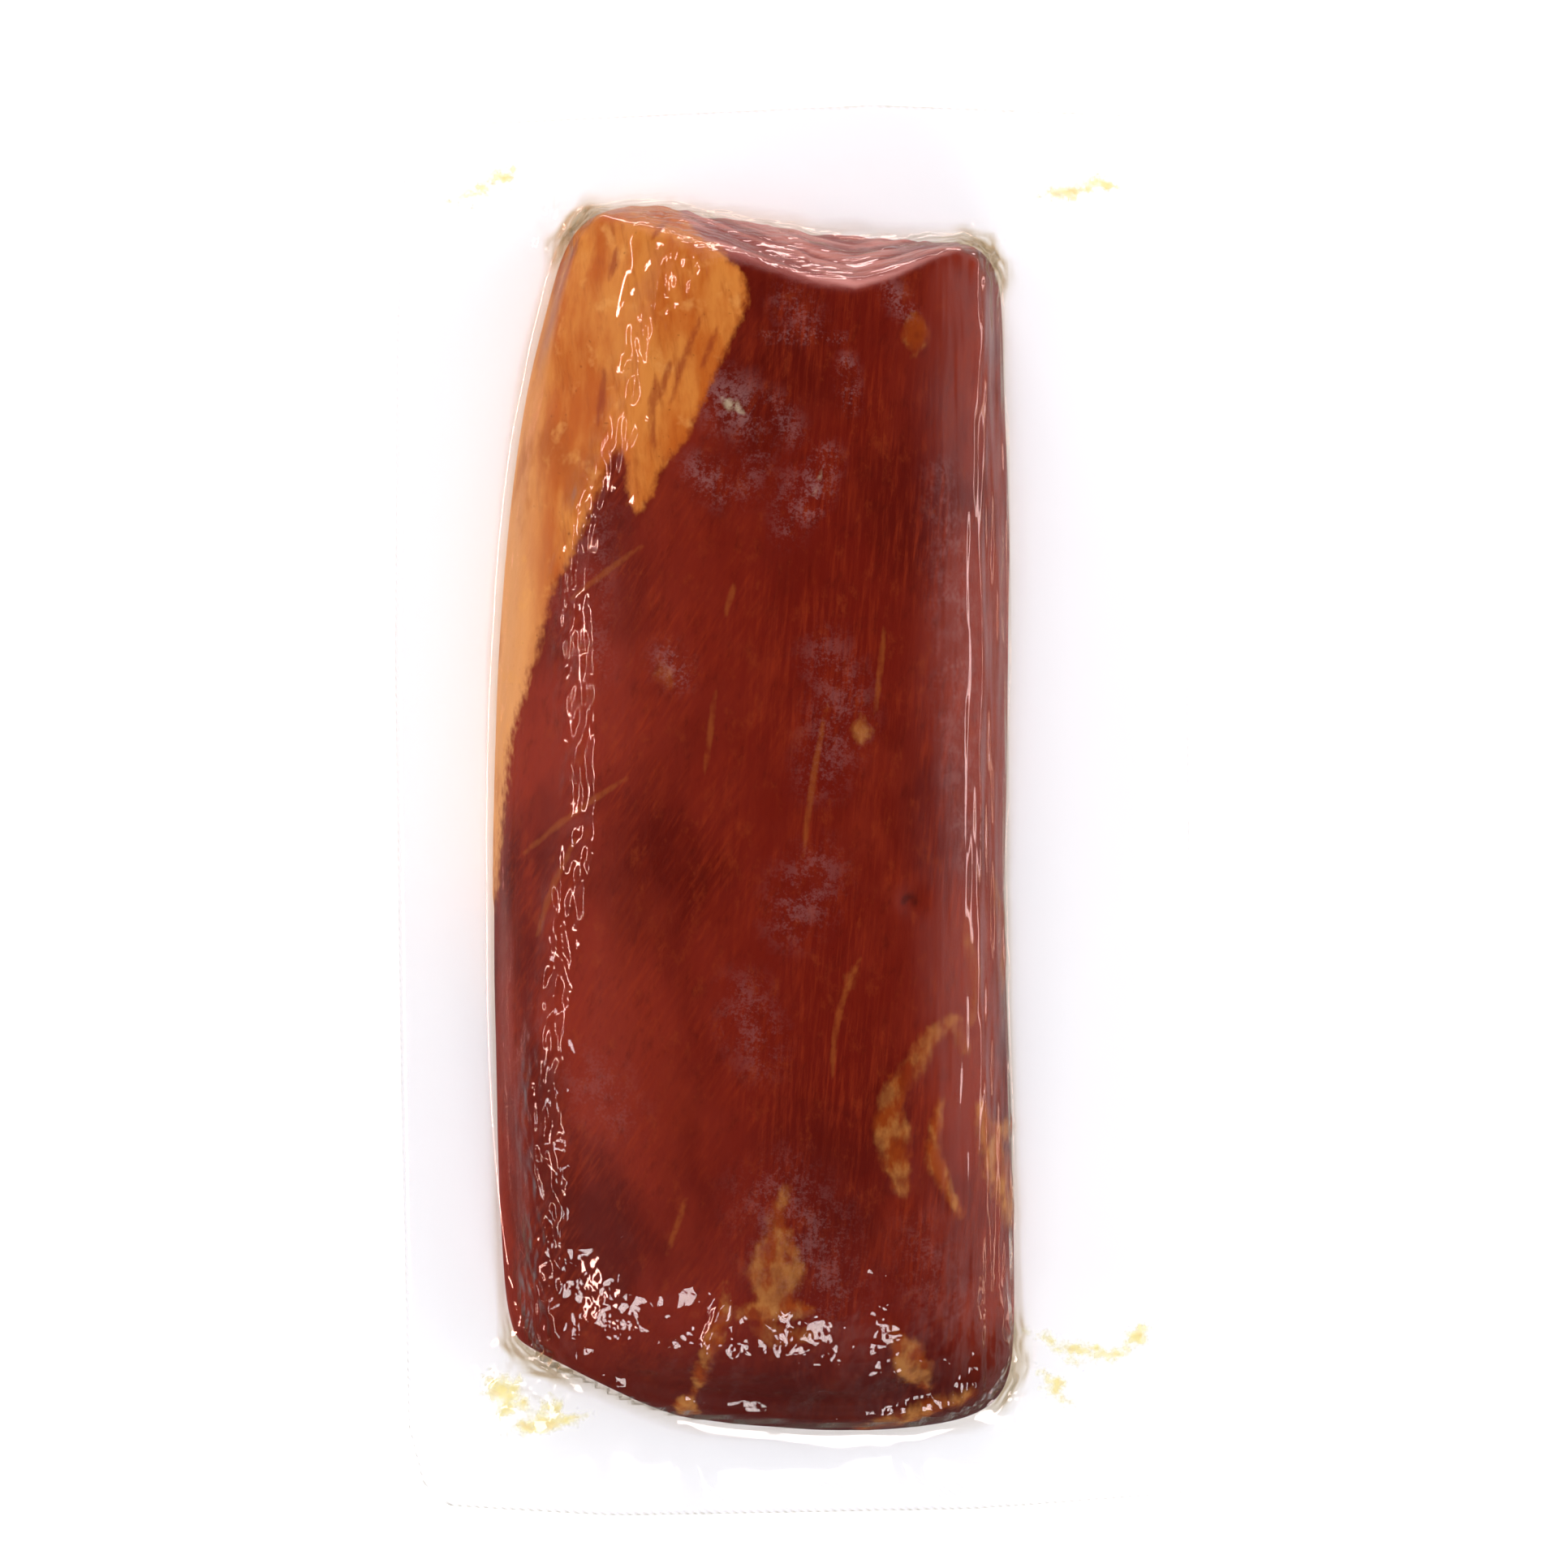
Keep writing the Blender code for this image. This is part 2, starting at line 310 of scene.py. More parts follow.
# %% A smooth copy of the slab
def merged_copy(node, name):
    """A new object with a copy of a model node's mesh, its triangles merged into quads."""
    piece = bpy.data.objects.new(name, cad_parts[node].data.copy())
    bpy.context.scene.collection.objects.link(piece)
    piece.data.materials.clear()
    select_only(piece)
    bpy.ops.object.mode_set(mode="EDIT")
    bpy.ops.mesh.select_all(action="SELECT")
    bpy.ops.mesh.remove_doubles(threshold=0.01 * MM)
    bpy.ops.mesh.tris_convert_to_quads()
    bpy.ops.mesh.normals_make_consistent(inside=False)
    bpy.ops.object.mode_set(mode="OBJECT")
    return piece


ham = merged_copy("ham", "smoked_ham")
apply_modifier(ham, "SUBSURF", levels=2, render_levels=2)
print("slab after smoothing:", len(ham.data.polygons), "faces")

# %% The knife-cut far end
SEAM = 20.0  # mm above the table, where the two films part round the slab
# The edge between the top and the cut face, and the foot of that face, seen from above.
CUT_EDGE = [(-60, 125.0), (-44, 123.5), (-32, 119.5), (-15, 114.3), (2, 108.3), (11, 107.1), (19, 110.0),
            (27, 114.3), (34, 117.4), (43, 119.5), (60, 120.0)]
CUT_FOOT = [(-60, 127.0), (-40, 129.3), (-15, 127.0), (4, 123.6), (19, 122.8), (46, 121.8)]
CUT_ZONE = (86.0, 100.0)  # mm along the slab, over which the new shape takes over


def sides_at(points, y):
    """The slab's left and right sides at a place along it, measured near the seam."""
    near_seam = points[np.abs(points[:, 2] - SEAM) < 5]
    slots = np.arange(-130, 131, 5)
    near = [near_seam[np.abs(near_seam[:, 1] - s) < 5] for s in slots]
    lefts = [band[:, 0].min() for band in near]
    rights = [band[:, 0].max() for band in near]
    return np.interp(y, slots, lefts), np.interp(y, slots, rights)


def top_profile(points):
    """How high the slab's top is from side to side, -1 to 1, just before the cut zone."""
    band = points[(np.abs(points[:, 1] - 78) < 8) & (points[:, 2] > SEAM)]
    left, right = sides_at(points, band[:, 1])
    across = (band[:, 0] - left) / (right - left) * 2 - 1
    slots = np.linspace(-1, 1, 41)
    heights = [band[np.abs(across - s) < 0.06][:, 2].max() for s in slots]
    return slots, heights


points = read_points(ham)
left, right = sides_at(points, points[:, 1])
across = (points[:, 0] - left) / (right - left) * 2 - 1
level = np.interp(across, *top_profile(points))
edge = np.interp(points[:, 0], *zip(*CUT_EDGE))
foot = np.interp(points[:, 0], *zip(*CUT_FOOT))
past = np.clip((points[:, 1] - edge) / (foot - edge), 0, 1)
face = SEAM + (level - SEAM) * (1 - past) ** 1.2
target = -np.logaddexp(-level / 0.6, -face / 0.6) * 0.6
share = ease(*CUT_ZONE, points[:, 1]) * ease(0.0, 3.0, points[:, 2] - SEAM)
share *= ease(0.0, 0.08, 0.97 - np.abs(across))
points[:, 2] += share * (target - points[:, 2])

# The top rolls down toward the near end, the left shoulder is fuller there, and the near left
# corner is bevelled.
ROLL = (-84.0, 0.0042)  # mm along the slab where it starts, and how fast it bends
FULLER = (-56.0, 8.0, 3.0)  # mm: where across the slab, how wide and how high
BEVEL = ((-60.5, -112.0), (-28.0, -127.5))  # mm, the ends of the slanting near left edge
BEVEL_SHARE = 0.85  # of what stands past that edge, how much is pushed back
CELL = 1.15  # mm, the size of the finished slab's faces

rolled = np.clip(ROLL[0] - points[:, 1], 0, None) * ease(SEAM, 32, points[:, 2])
points[:, 2] -= ROLL[1] * rolled**2
centre, width, height = FULLER
along = ease(25, -50, points[:, 1]) * ease(-129, -112, points[:, 1]) * ease(SEAM, 30, points[:, 2])
points[:, 2] += along * height * np.exp(-(((points[:, 0] - centre) / width) ** 2))
start, end = (np.array(place) for place in BEVEL)
outward = np.array([end[1] - start[1], start[0] - end[0]]) / np.linalg.norm(end - start)
beyond = (points[:, :2] - start) @ outward
points[:, :2] -= BEVEL_SHARE * np.where(beyond > 0, beyond, 0)[:, None] * outward
write_points(ham, points)
apply_modifier(ham, "REMESH", mode="VOXEL", voxel_size=CELL * MM, use_smooth_shade=True)
apply_modifier(ham, "SMOOTH", factor=0.5, iterations=2)
print("slab after remeshing:", len(ham.data.polygons), "faces")

# %% [markdown]
# ## Where the fat lies
# The fat cap wraps the far left corner and thins out along the left side, and seams of fat run
# through the lean at the near right. On the real slab these are different tissues that grew
# together, so they are drawn as outlines on one surface, not as separate pieces. Each
# point keeps how deep it lies inside an outline. The material turns that into a border whose
# edge can be as fine and as ragged as we like, whatever the size of the mesh's cells.

# %% Outlines of the fat and the lean
FAT_CAP = [(-80, 140), (-45, 140), (-26, 127), (-22, 119), (-14, 114), (-11, 108), (-14, 98), (-18, 90),
           (-21, 83), (-26, 73.5), (-29.5, 70), (-31.5, 64.5), (-34, 60.5), (-36, 64), (-35.5, 73),
           (-38.5, 76), (-41, 70), (-44, 62.5), (-47.5, 54), (-53, 43), (-58, 24), (-61, 11),
           (-63.5, -7), (-65, -25), (-80, -60)]
FAT_UNDER = [(-80, 140), (20, 140), (2, 112), (-18, 80), (-30, 40), (-44, 0), (-55, -40), (-80, -70)]
SEAMS = [  # a path, its widest place in mm, and how plainly it shows, from 0 to 1
    ([(32, -43), (28, -45.5), (24, -50), (20.5, -56), (18, -62)], 4.2, 0.55),
    ([(31, -45), (34.5, -50.5)], 3.0, 0.4),
    ([(19.5, -56), (18, -63), (18.8, -71), (20.5, -78)], 7.5, 0.75),
    ([(28.5, -60), (27.6, -66), (27, -72), (29.5, -78), (33, -84)], 3.6, 0.85),
    ([(37, -62), (39.2, -67), (40.1, -72), (42.3, -77), (44, -87)], 5.6, 0.85),
    ([(40, -70), (44.5, -65.5)], 4.4, 0.75),
    ([(-3.8, -78.5), (-6.2, -86), (-5.2, -92)], 4.4, 0.6),
    ([(-4.2, -88), (-5.8, -96), (-4, -103)], 12.0, 0.7),
    ([(-12.5, -104.5), (-5, -103), (2, -104)], 5.0, 0.9),
    ([(-10, -107.5), (-4, -109.5), (2, -109)], 4.0, 0.45),
    ([(18.9, -108.5), (22, -114), (26, -120.5)], 7.2, 0.8),
    ([(12, -130.5), (22, -127.5), (31, -123.5), (36, -122)], 4.0, 0.9),
    ([(34, -22), (36, -34), (35, -44)], 3.0, 0.3),
    ([(40, -14), (43, -26), (42, -38)], 3.0, 0.4),
    ([(23.7, 102.5), (23.3, 95)], 5.0, 0.7),
    ([(12.2, 19), (11.8, 14)], 3.4, 0.6),
    ([(11, -33), (7.5, -38)], 2.6, 0.4),
    ([(-16.2, -98), (-16.5, -106), (-19.5, -111), (-22.5, -123)], 3.4, 0.9),
    ([(-25.5, -127), (-23, -123)], 6.0, 1.0),
    ([(-29.5, 31), (-27.5, 26)], 4.0, 0.3),
]
HAIRLINES = [  # threads of fat between the muscles
    [(-58, -9), (-47, 0), (-36, 7)],
    [(-48, 44), (-40, 50), (-33, 55)],
    [(-47, -6), (-52, -16), (-55, -26)],
    [(-14, 47), (-16, 40)],
    [(5, 22), (2, 6), (0, -10)],
    [(-18, 25), (-20, 8)],
    [(12, -30), (7, -42), (6, -55)],
    [(17, 38), (15, 20)],
    [(-24, -80), (-28, -92)],
]
STREAKS = [  # dark red creases in the fat
    [(-30.3, 90), (-31.2, 82), (-30.2, 74)],
    [(-27, 93), (-29.5, 85)],
    [(-20.5, 103), (-25, 92), (-27, 84)],
    [(-38, 117), (-39.5, 110)],
    [(-28, 123), (-31, 118)],
    [(-17.5, 100), (-21, 91)],
    [(-40.5, 92), (-42, 80)],
]
BLOOM_AND_GLINT = [  # pale haze on the lean: a path, its width and its strength
    # The first stroke is a painted highlight, the glint of a thin crease in the film, drawn like bloom.
    ([(-9, 98), (8.5, 97.7)], 2.2, 1.0),
    ([(-3, 106), (1, 100)], 10, 0.5),
    ([(9, 93), (10, 84)], 5, 0.9),
    ([(-17, 86), (-12, 82)], 14, 1.0),
    ([(-6, 84), (-2, 78)], 8, 0.6),
    ([(5, 73), (1, 62)], 8, 0.95),
    ([(-2, 68), (-3, 58)], 9, 0.5),
    ([(-22, 71), (-17, 66)], 9, 0.75),
    ([(-9, 76), (-12, 66)], 9, 0.45),
    ([(18, 108), (22, 103)], 6, 0.8),
    ([(-28, 32), (-26, 28)], 9, 0.8),
    ([(5, 32), (9, 22), (4, 8)], 15, 0.45),
    ([(3, -12), (-2, -22)], 16, 0.5),
    ([(-12, -38), (-9, -50)], 14, 0.4),
    ([(30, 70), (33, 30), (34, -10)], 12, 0.5),
    ([(-42, 60), (-46, 44), (-44, 30)], 12, 0.4),
    ([(-45, -55), (-38, -62)], 16, 0.3),
    ([(-5, -80), (4, -98)], 24, 0.55),
    ([(25, -90), (32, -104)], 18, 0.3),
]

points = read_points(ham)
normals = read_normals(ham)
print("slab:", points.min(axis=0).round(1), points.max(axis=0).round(1))
wall = ease(2.0, 9.0, points[:, 2])
ragged = 0.9 * lumps(points, (7, 10, 8), 3.0) + 0.4 * lumps(points, 3.0, 5.0)
fat = depth_in(points, FAT_CAP) * wall + depth_in(points, FAT_UNDER) * (1 - wall) + ragged
depths = np.array([stroke_depth(points, path, width) for path, width, _ in SEAMS])
shows = np.array([strength for _, _, strength in SEAMS])[depths.argmax(axis=0)]
seams = depths.max(axis=0) + 1.0 * lumps(points, 5.0, 9.0) + 0.5 * lumps(points, 2.4, 10.0) - 20 * (1 - wall)
streaks = np.max([stroke_depth(points, path, 1.6) for path in STREAKS], axis=0)
past_edge = points[:, 1] - np.interp(points[:, 0], *zip(*CUT_EDGE))
cut = ease(-1.0, 2.0, past_edge) * ease(-40, -30, points[:, 0]) * wall
hairs = np.max([stroke_depth(points, path, 1.0) for path in HAIRLINES], axis=0) - 20 * (1 - wall)
hazes_and_glint = [strength * ease(-width / 4, width / 2, stroke_depth(points, path, width, 0.8))
         for path, width, strength in BLOOM_AND_GLINT]
bloom_and_glint = np.max(hazes_and_glint, axis=0) * wall

# %% Folds that fan across the cut face
def folds(points, size, seed):
    """Sharp-crested noise, like crumpled film, from 0 to 1."""
    return 1 - np.abs(lumps(points, size, seed)) * 2.2


def fan_places(x, y):
    """Places on the cut face, in which its folds run straight and close up toward the right."""
    past_edge = (y - np.interp(x, *zip(*CUT_EDGE))) / np.interp(x, [-40, 40], [10.0, 5.0])
    return np.column_stack([x, 26 * past_edge + 0.35 * x, 0 * x])


fan = folds(fan_places(points[:, 0], points[:, 1]), (30, 6.5, 8), 47.0)
fan += 0.25 * folds(fan_places(points[:, 0], points[:, 1]), (18, 3.0, 8), 49.0) - 0.2

# %% Relief of the slab
# Each dimple's place, radius and depth in mm.
DIMPLES = [((22.5, -18.5), 2.4, 1.3), ((19, -80), 3.0, 0.5), ((-22, -104), 4.0, 0.3), ((-28, 30), 3.5, 0.2)]
FOOT = 0.65  # mm, how high the slab's underside lies, which leaves room for the lower film

relief = 0.4 * lumps(points, (26, 40, 30), 1.0) + 0.15 * lumps(points, (9, 22, 12), 2.0)
relief += 0.5 * ease(-0.5, 1.5, fat) + 0.25 * ease(-0.5, 1.0, seams) + 0.7 * cut * fan
dimple_shade = np.zeros(len(points))
for place, radius, depth in DIMPLES:
    away = np.linalg.norm(points[:, :2] - place, axis=1)
    relief -= depth * np.exp(-((away / radius) ** 2))
    dimple_shade = np.maximum(dimple_shade, depth * np.exp(-((away / radius) ** 2)))
dimple_shade *= 0.8 + 0.9 * lumps(points, 2.2, 71.0)
resting = 1 - ease(0.5, 4.0, points[:, 2])
points += normals * (relief * (1 - resting))[:, None]
points[:, 2] = np.maximum(points[:, 2], FOOT)
write_points(ham, points)
for name, values in {"fat": fat, "seams": seams, "shows": shows, "hairs": hairs, "streaks": streaks,
                     "bloom_and_glint": bloom_and_glint, "cut": cut, "fan": fan, "dimple_shade": dimple_shade * wall}.items():
    keep(ham, name, values)
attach(ham, "root")
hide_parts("ham")

# %% [markdown]
# ## The pouch's outline
# The pouch was cut as a rectangle, and the vacuum pulled its sides a little out of true. Each
# film starts as a flat grid, whose rows are spread between the four slightly bowed edges,
# with the corners rounded.

# %% A grid in the pouch's outline
POUCH_LEFT = [(-146.8, -79.0), (-130, -83.0), (-51.8, -84.7), (34.4, -85.9), (98.1, -85.5), (144.5, -83.5)]
POUCH_RIGHT = [(-144.0, 85.6), (-125, 85.9), (-41.4, 82.3), (98.1, 80.5), (146.6, 79.5)]
POUCH_NEAR = [(-79.0, -146.8), (-39.4, -149.1), (36.4, -147.6), (85.6, -144.0)]
POUCH_FAR = [(-83.5, 144.5), (15.0, 149.1), (79.5, 146.6)]
CORNER = 6.0  # mm, the radius of the pouch's corners


def between(line, places):
    return np.interp(places, *zip(*line))


def pouch_places(across, along):
    """Seen from above, where a point at across, along (each from -1 to 1) of the pouch lies."""
    share_x, share_y = (across + 1) / 2, (along + 1) / 2
    x = across * HIGH[0]
    y = between(POUCH_NEAR, x) * (1 - share_y) + between(POUCH_FAR, x) * share_y
    x = between(POUCH_LEFT, y) * (1 - share_x) + between(POUCH_RIGHT, y) * share_x
    y = between(POUCH_NEAR, x) * (1 - share_y) + between(POUCH_FAR, x) * share_y
    from_side, from_end = (1 - np.abs(across)) * HIGH[0], (1 - np.abs(along)) * HIGH[1]
    a, b = np.clip(CORNER - from_side, 0, None), np.clip(CORNER - from_end, 0, None)
    pull = 1 - np.maximum(a, b) / np.maximum(np.hypot(a, b), 1e-9)
    pull = np.where((a > 0) & (b > 0), pull, 0.0)
    return x - np.sign(across) * a * pull, y - np.sign(along) * b * pull


# The grid's cells are half as wide over the slab as in the margins: the share of the columns
# and rows that are used up, and where that is on the pouch.
CROWD_X = [(0.0, -1.0), (0.0655, -0.78), (0.863, 0.553), (1.0, 1.0)]
CROWD_Y = [(0.0, -1.0), (0.036, -0.90), (0.956, 0.872), (1.0, 1.0)]


def film_grid(name, columns, rows):
    """A flat grid of the pouch's size, with its points in rows from near left."""
    bpy.ops.object.select_all(action="DESELECT")
    bpy.ops.mesh.primitive_grid_add(x_subdivisions=columns, y_subdivisions=rows, size=2)
    piece = bpy.context.object
    piece.name = piece.data.name = name
    points = read_points(piece) * MM
    across = between(CROWD_X, (points[:, 0] + 1) / 2)
    along = between(CROWD_Y, (points[:, 1] + 1) / 2)
    x, y = pouch_places(across, along)
    edge = np.minimum((1 - np.abs(across)) * HIGH[0], (1 - np.abs(along)) * HIGH[1])
    return piece, np.stack([x, y, np.zeros(len(x))], axis=1), edge


# %% [markdown]
# ## How the film lies
# Air pressure holds the film against the slab, and tension bridges the hollow where the side
# meets the flat margin. Both come from one rule, repeated: every point goes to the mean height of
# its four neighbours, but never inside the slab. A few rounds are enough for small tents at the
# foot of the slab and tight film everywhere else, as on a real pack.

# %% Lay the films
SHELL_GAP = 0.35  # mm between the film and the meat
RAYS_FROM = {True: 100.0, False: -50.0}  # mm, well above and well below the slab
ROUNDS_UPPER, ROUNDS_LOWER = 7, 9  # how many times the tension is worked out
LOWEST = 0.16  # mm, so that the lower film stays off the table
POCKET = 0.35  # half the space between the films in the margin
SEALED = 0.12  # the same along the heat seal, where the two are welded
SEAL_WIDTH = 5.0
EDGE_DROOP = 6.0  # how far the loose margin hangs below the seam

MARGIN_FOLDS = [  # path, height and width of folds that both films share
    ([(81, 3), (72, -8), (62, -28), (46, -58)], 1.6, 1.7),
    ([(54, 92), (55, 76), (56, 60)], 0.7, 1.2),
    ([(-29, -127), (-22, -136), (-20, -147)], 1.2, 1.6),
    ([(-68, 96), (-69, 40), (-69, -30), (-68, -110)], 0.5, 1.5),
    ([(-52, 128), (-60, 136), (-70, 142)], 1.3, 1.8),
    ([(-56, 124), (-68, 128), (-82, 132)], 1.0, 1.6),
    ([(45, 124), (54, 134), (66, 141)], 1.2, 1.8),
    ([(47, 120), (60, 124), (76, 126)], 1.0, 1.6),
    ([(44, -126), (54, -134), (68, -141)], 1.2, 1.8),
    ([(47, -116), (60, -114), (76, -108)], 1.1, 1.8),
    ([(-60, -122), (-68, -130), (-74, -140)], 1.2, 1.8),
    ([(-64, -114), (-73, -116), (-82, -118)], 1.0, 1.5),
    ([(10, 126), (8, 136), (2, 147)], 0.6, 2.0),
    ([(20, -134), (24, -142), (24, -148)], 0.6, 2.0),
]


def margin_level(points):
    """The height of the level between the films, which waves and droops towards the edge."""
    x, y = points[:, 0], points[:, 1]
    past_side = np.maximum(np.abs(x + 10) - 55, 0) / 40
    past_end = np.maximum(np.abs(y) - 125, 0) / 24
    level = SEAM - EDGE_DROOP * ease(0, 1, 0.7 * np.hypot(past_side, past_end))
    level += 1.1 * lumps(points, (38, 46, 40), 21.0) + 0.25 * lumps(points, (11, 13, 12), 22.0)
    for path, height, width in MARGIN_FOLDS:
        away, along = off_line(points, rounded(path))
        level += height * np.exp(-((away / width) ** 2)) * np.sin(np.pi * np.clip(along, 0.02, 0.98)) ** 0.5
    return level


def shell_height(piece, points, upward):
    """The height of the slab's upper or lower side over each point, and not a number off the slab."""
    shell = read_points(piece) + SHELL_GAP * read_normals(piece)
    faces = [tuple(p.vertices) for p in piece.data.polygons]
    tree = BVHTree.FromPolygons([Vector(p) for p in shell], faces)
    way = Vector((0, 0, -1 if upward else 1))
    hits = [tree.ray_cast(Vector((x, y, RAYS_FROM[upward])), way)[0] for x, y in points[:, :2]]
    return np.array([np.nan if hit is None else hit.z for hit in hits])


def relax(heights, obstacle, shape, rounds):
    """Rounds of the mean of four neighbours, held on or above the obstacle, with the rim fixed."""
    z = heights.reshape(shape).copy()
    under = obstacle.reshape(shape)
    for _ in range(rounds):
        mean = (z[:-2, 1:-1] + z[2:, 1:-1] + z[1:-1, :-2] + z[1:-1, 2:]) / 4
        z[1:-1, 1:-1] = np.maximum(under[1:-1, 1:-1], mean)
    return z.ravel()


COLUMNS, ROWS = 168, 250
upper, flat, edge = film_grid("film_upper", COLUMNS, ROWS)
lower, _, _ = film_grid("film_lower", COLUMNS, ROWS)
shape = (ROWS + 1, COLUMNS + 1)
level = margin_level(flat)
gap = SEALED + (POCKET - SEALED) * ease(SEAL_WIDTH + 1.0, SEAL_WIDTH + 4.0, edge)

top = shell_height(ham, flat, upward=True)
over_slab = np.where(np.isnan(top), -1e3, top)
resting = np.maximum(over_slab, level + gap)
upper_z = relax(resting, resting, shape, ROUNDS_UPPER)

bottom = shell_height(ham, flat, upward=False)
under_slab = np.where(np.isnan(bottom), 1e3, bottom)
hanging = np.minimum(under_slab, level - gap)
lower_z = -relax(-hanging, -hanging, shape, ROUNDS_LOWER)
lower_z = np.maximum(lower_z, LOWEST)
print("upper film is", upper_z.max().round(1), "mm high, the lower one reaches", lower_z.min().round(2))

# %% [markdown]
# ## Wrinkles
# The film is stiffer than cloth, so it wrinkles in thin straight ridges: long ones along the
# sides, a fan over the hollow cut end, a crumple at each corner where flat film had to go
# round a block, and a broken chain along the left shoulder. The larger ones are drawn as
# ridges, the smaller ones as stretched noise that is strong only where the film is slack.

# %% Wrinkle the films
RIDGES = [  # path, height and width in mm of single ridges of the upper film
    ([(-48, 58), (-47.5, 48), (-47, 34), (-46, 17), (-44.5, 3)], 0.22, 0.8),
    ([(-50, -10), (-49, -26), (-51, -44), (-54, -54)], 0.22, 0.8),
    ([(-40.8, -12), (-42.3, -26), (-40, -46)], 0.16, 1.0),
    ([(-34.8, 99), (-34.4, 88)], 0.3, 0.8),
    ([(-44, -90), (-53, -94)], 0.5, 0.8),
    ([(-42, -94), (-49, -98)], 0.35, 0.8),
    ([(-31, -93), (-31.5, -102)], 0.35, 0.8),
    ([(-35, -100), (-42, -103)], 0.5, 0.9),
    ([(-22, 126), (-10, 120), (2, 114), (12, 110)], 0.8, 1.0),
    ([(-15, 126), (0, 118), (14, 114), (24, 112)], 0.7, 0.9),
    ([(-2, 124), (12, 119), (26, 117)], 0.7, 0.9),
    ([(10, 122.5), (24, 120.5), (38, 120)], 0.6, 0.8),
    ([(-34, 127), (-22, 121), (-8, 116)], 0.5, 0.9),
    ([(-38, 126), (-36, 118), (-34, 112)], 0.9, 0.8),
    ([(-33, 124), (-35, 118)], 0.7, 0.8),
    ([(-17, -101), (-19, -107), (-20, -114), (-23, -126)], 1.5, 1.0),
    ([(-22, -110), (-25, -118), (-25, -127)], 0.8, 0.9),
    ([(-52, -114), (-40, -120), (-26, -127)], 1.0, 1.0),
    ([(-58, -108), (-48, -115), (-38, -123)], 0.7, 0.8),
    ([(14, -128), (26, -124), (38, -118), (44, -110)], 0.9, 1.0),
    ([(20, -131), (34, -126), (44, -119)], 0.7, 0.9),
    ([(30, 116), (38, 112), (44, 106)], 0.8, 0.9),
    ([(32, 121), (40, 116), (46, 108)], 0.8, 0.9),
    ([(-60, 100), (-58, 110), (-53, 120)], 0.8, 1.0),
]
CHAIN = [(-24, 112), (-34, 96), (-35, 84), (-41, 70), (-47.5, 56), (-47, 40), (-46.5, 25), (-45.5, 10),
         (-44.5, -3), (-48, -14), (-49.5, -28), (-51, -44), (-53.5, -56), (-53, -70), (-52.5, -84),
         (-54, -100), (-54, -112)]
CORNERS = [((-50, 124), 12), ((42, 119), 13), ((-58, -118), 14), ((43, -117), 14)]


def ridge_heights(points, ridges):
    """The height that the ridges add, along paths that are themselves a little crooked."""
    crooked = points.copy()
    crooked[:, 0] += 0.9 * lumps(points, 5.0, 31.0) + 0.5 * lumps(points, 2.6, 32.0)
    crooked[:, 1] += 0.9 * lumps(points, 5.0, 33.0)
    total = np.zeros(len(points))
    for path, height, width in ridges:
        away, along = off_line(crooked, rounded(path))
        taper = np.sin(np.pi * np.clip(along, 0.01, 0.99)) ** 0.4
        broken = 0.65 + 0.55 * lumps(points, 6.0, 34.0 + height)
        total += height * taper * broken * np.exp(-np.abs(away / width) ** 1.6)
    return total


def near_any(points, places):
    """1 at each place and 0 a radius away."""
    shares = [1 - ease(0.25 * radius, radius, np.linalg.norm(points[:, :2] - place, axis=1))
              for place, radius in places]
    return np.max(shares, axis=0)


def normals_of(piece, points):
    write_points(piece, points)
    return read_normals(piece)


on_slab = ease(-1.0, 2.0, over_slab - level)
x, y = flat[:, 0], flat[:, 1]
away_from_chain, _ = off_line(flat, rounded(CHAIN))
masks = {
    "crumple": near_any(flat, CORNERS),
    "near": ease(-84, -112, y) * on_slab,
    "right": ease(24, 38, x) * on_slab,
    "chain": ease(7.5, 2.0, away_from_chain) * on_slab,
    "fan": ease(-2, 2, y - between(CUT_EDGE, x)) * ease(-42, -30, x),
}
wrinkle = 0.06 * lumps(flat, (7, 16, 8), 41.0) * on_slab
wrinkle += ridge_heights(flat, RIDGES)
# The corner folds run along the slanting corners at the near end, and every way at the far end.
slant = np.where(y > 0, 0.0, np.where(x < -10, math.radians(-25), math.radians(38)))
lengthwise = (x * np.cos(slant) + y * np.sin(slant)) / np.where(y > 0, 1.0, 2.4)
turned = np.column_stack([lengthwise, y * np.cos(slant) - x * np.sin(slant), 0 * x])
wrinkle += masks["crumple"] * (1.3 * folds(turned, 5.5, 42.0) + 0.5 * folds(turned, 2.8, 43.0))
wrinkle += 0.20 * masks["right"] * folds(flat, (3.2, 36, 8), 44.0)
wrinkle += masks["near"] * (0.50 * lumps(flat, (13, 10, 10), 45.0) + 0.15 * lumps(flat, (6, 5, 6), 48.0))
wrinkle += 0.10 * masks["chain"] * lumps(flat, (5, 9, 6), 46.0)
wrinkle += 0.45 * masks["fan"] * folds(fan_places(x, y), (30, 6.5, 8), 47.0)
free = ease(0.0, 5.0, edge)
upper_points = np.column_stack([flat[:, :2], upper_z])
upper_points += normals_of(upper, upper_points) * (np.maximum(wrinkle, -0.15) * free)[:, None]
write_points(upper, upper_points)

lower_points = np.column_stack([flat[:, :2], lower_z])
slack = 0.8 * masks["crumple"] * folds(flat, 5.5, 52.0) + 0.12 * lumps(flat, (6, 12, 6), 51.0)
off_table = ease(1.0, 4.0, lower_z)
lower_points += -normals_of(lower, lower_points) * (np.maximum(slack, -0.1) * free * off_table)[:, None]
write_points(lower, lower_points)

# %% Finish the films
FILM = 0.12  # mm thick


